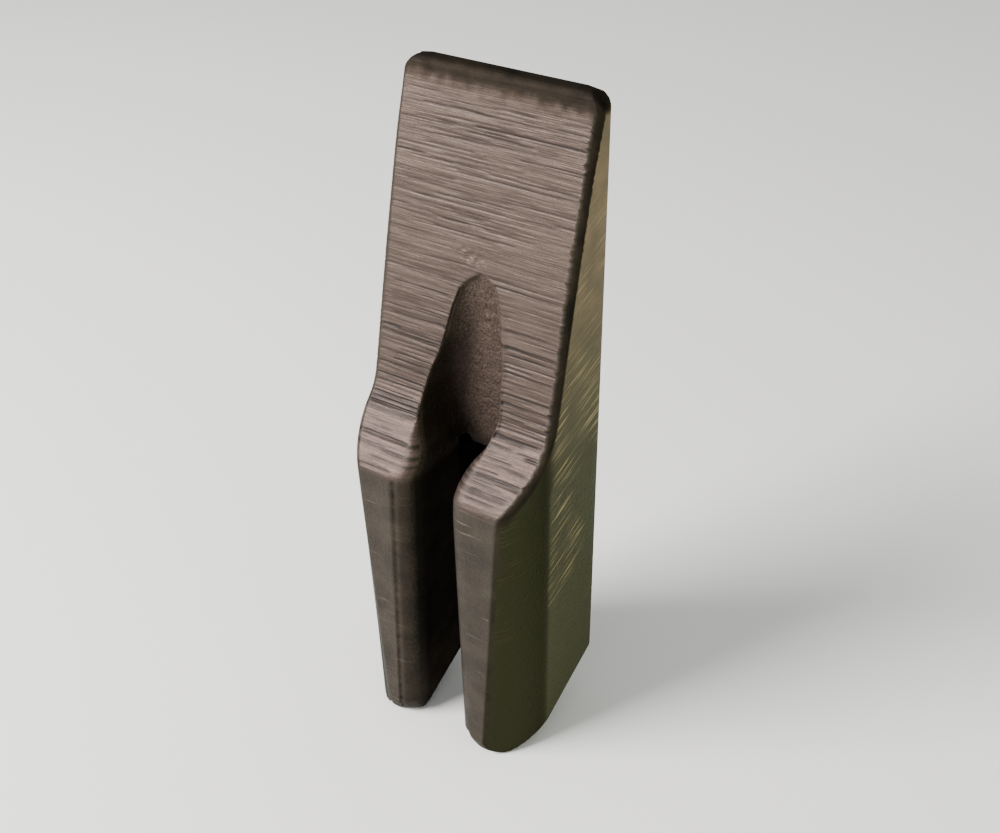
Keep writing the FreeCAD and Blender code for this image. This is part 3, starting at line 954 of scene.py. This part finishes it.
# %% Ground faces: fine and broad streaks, speckle, and dark furrows
streak = maths("ADD", maths("MULTIPLY", fine_streak, 0.65), maths("MULTIPLY", broad_streak, 0.35))
ground_colour = blend_colour(rise(streak, 0.36, 0.64),
                             (0.036, 0.025, 0.020), (0.112, 0.080, 0.065))
ground_colour = blend_colour(rise(UP, 0.124, 0.114, 0, 0.35), ground_colour,
                             (0.052, 0.030, 0.029))
ground_colour = blend_colour(rise(speckle, 0.5, 0.7, 0, 0.6), ground_colour,
                             (0.044, 0.031, 0.026))
ground_colour = blend_colour(maths("MULTIPLY", FURROW, 0.85), ground_colour,
                             (0.010, 0.007, 0.006))
print("ground faces coloured")

# %% Leg fronts: darker, with a few light lines across
leg_scratch = noise((60, 60, 1500), 2)
leg_colour = blend_colour(rise(mottle, 0.35, 0.65), (0.024, 0.0185, 0.013), (0.041, 0.032, 0.0235))
leg_colour = blend_colour(rise(leg_scratch, 0.66, 0.76, 0, 0.7), leg_colour, (0.13, 0.105, 0.08))
front_colour = blend_colour(LEG, ground_colour, leg_colour)
print("leg fronts coloured")

# %% Sides: olive below as painted green reflection, brown above, with diagonal scratches
TILT = math.radians(-18)
# The olive tint of the lower side, of its mottled patches and of the flank is painted green
# reflection, on top of the low green lamp.
side_colour = blend_colour(rise(UP, 0.105, 0.185), (0.034, 0.036, 0.0045), (0.205, 0.145, 0.079))
side_colour = blend_colour(rise(mottle, 0.3, 0.7, 0, 0.5), side_colour, (0.031, 0.031, 0.009))
side_colour = blend_colour(FLANK, side_colour, (0.025, 0.0258, 0.0135))
side_scratch = noise((60, 45, 1300), 2, (TILT, 0, 0))
patch = noise((40, 55, 40), 1)
middle_band = maths("MULTIPLY", rise(UP, 0.035, 0.07), rise(UP, 0.20, 0.13))
scratch_share = maths("MULTIPLY", rise(side_scratch, 0.56, 0.64),
                      maths("MULTIPLY", rise(patch, 0.42, 0.6),
                            maths("MULTIPLY", middle_band, rise(FLANK, 0, 0.8, 1, 0.04))))
side_colour = blend_colour(maths("MULTIPLY", scratch_share, 0.8), side_colour, (0.40, 0.31, 0.15))
print("scratches lean %.0f degrees" % math.degrees(-TILT))

# %% Hollows, scale, painted shade in the slot and scoop, and the plain back
rough_colour = blend_colour(rise(speckle, 0.35, 0.7), (0.030, 0.0205, 0.0155),
                            (0.100, 0.071, 0.056))
# Where hollow and leg meet, on the slot's walls, the colour is near-black: painted shade.
hollow_and_slot_shade_colour = blend_colour(LEG, rough_colour, (0.002, 0.002, 0.002))
patchy = rise(mottle, 0.3, 0.7)
# Scale colour; the same dark colour also serves where shade is painted through the scale value.
scale_and_shade_colour = blend_colour(patchy, (0.014, 0.012, 0.010), (0.036, 0.028, 0.020))
plain_colour = blend_colour(patchy, (0.018, 0.016, 0.010), (0.032, 0.028, 0.019))
print("hollows and scale coloured")

# %% One colour out of all the finishes
colour = blend_colour(GROUND, plain_colour, front_colour)
for share, finish_colour in ((SIDE, side_colour), (HOLLOW, hollow_and_slot_shade_colour), (SCALE_AND_SHADE, scale_and_shade_colour)):
    colour = blend_colour(share, colour, finish_colour)
put(SHADER.inputs["Base Color"], colour)
SHADER.inputs["Specular Tint"].default_value = (0.5, 0.5, 0.5, 1)
print(len(TREE.nodes), "shader nodes so far")

# %% [markdown]
# ## Sheen and fine relief
# Scale is dull and dark, and ground steel is satin. The slot's walls are dull, painted near-black
# as shade and fully metallic so that they reflect nothing. The finest streaks and pits are too
# small for the skin's own points, so a bump of a quarter of a millimetre carries them; everything
# larger is in the shape itself.

# %% Sheen and fine relief
BUMP_STRENGTH, BUMP_DEPTH = 0.9, 0.00025
# Full metal on scale, flank and the slot's walls; on the near-black slot walls it takes away every
# reflection, as part of their painted shade.
dark_metal_and_slot_shade = maths("MAXIMUM", maths("MAXIMUM", SCALE_AND_SHADE, FLANK), maths("MULTIPLY", HOLLOW, LEG))
put(SHADER.inputs["Metallic"], rise(dark_metal_and_slot_shade, 0, 1, 0.5, 1.0))
dullness = maths("ADD", maths("MULTIPLY", speckle, 0.5), maths("MAXIMUM", HOLLOW, SCALE_AND_SHADE))
put(SHADER.inputs["Roughness"], rise(dullness, 0.0, 1.5, 0.38, 0.75))
ground_bump = maths("MULTIPLY", streak, maths("MULTIPLY", GROUND, 0.9))
rough_share = maths("ADD", rise(maths("SUBTRACT", GROUND, LEG), 0, 1, 0.60, 0.25),
                    maths("MULTIPLY", maths("SUBTRACT", HOLLOW, LEG), 2.2))
rough_bump = maths("MULTIPLY", noise((900, 900, 900), 3), rough_share)
side_bump = maths("MULTIPLY", scratch_share, maths("MULTIPLY", SIDE, 0.4))
bump = TREE.nodes.new("ShaderNodeBump")
bump.inputs["Strength"].default_value = BUMP_STRENGTH
bump.inputs["Distance"].default_value = BUMP_DEPTH
put(bump.inputs["Height"], maths("ADD", maths("ADD", ground_bump, rough_bump), side_bump))
put(SHADER.inputs["Normal"], bump.outputs[0])
forging.data.materials.append(steel)
print(len(TREE.nodes), "shader nodes")

# %% [markdown]
# ## Keep both boxes
# The CAD frame stays in the file, hidden, beside the finished piece. The finished piece may
# not be larger than the frame, so both boxes are kept for comparison.

# %% Keep both boxes and finish
print("both boxes kept")
